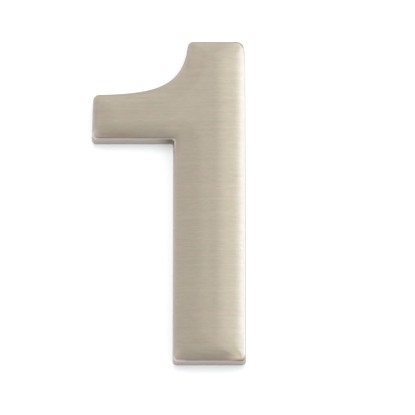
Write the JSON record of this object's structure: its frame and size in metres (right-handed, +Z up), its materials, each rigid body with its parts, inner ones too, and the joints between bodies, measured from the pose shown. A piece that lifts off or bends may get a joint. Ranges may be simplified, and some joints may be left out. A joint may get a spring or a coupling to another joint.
{
  "type": "house number",
  "caption": "Cast house number in the shape of the figure one, with a flag at the left, a flat back with tapped fixing holes and a softly swelling brushed face.",
  "frame": {"origin": "on the flat back, midway between the two fixing holes on the stem's centre line, which is half way up the figure", "axes": "+Z up the figure as it hangs on a wall, +X to the right for someone who reads it, +Y out of the back into the wall, so the face looks towards -Y"},
  "size_m": [0.0479, 0.0071, 0.1016],
  "materials": {
    "satin_nickel": "satin nickel plate over the casting, brushed across the figure, with fine horizontal streaks"
  },
  "bodies": {
    "root": {"figure_one": "satin_nickel"}
  },
  "joints": []
}
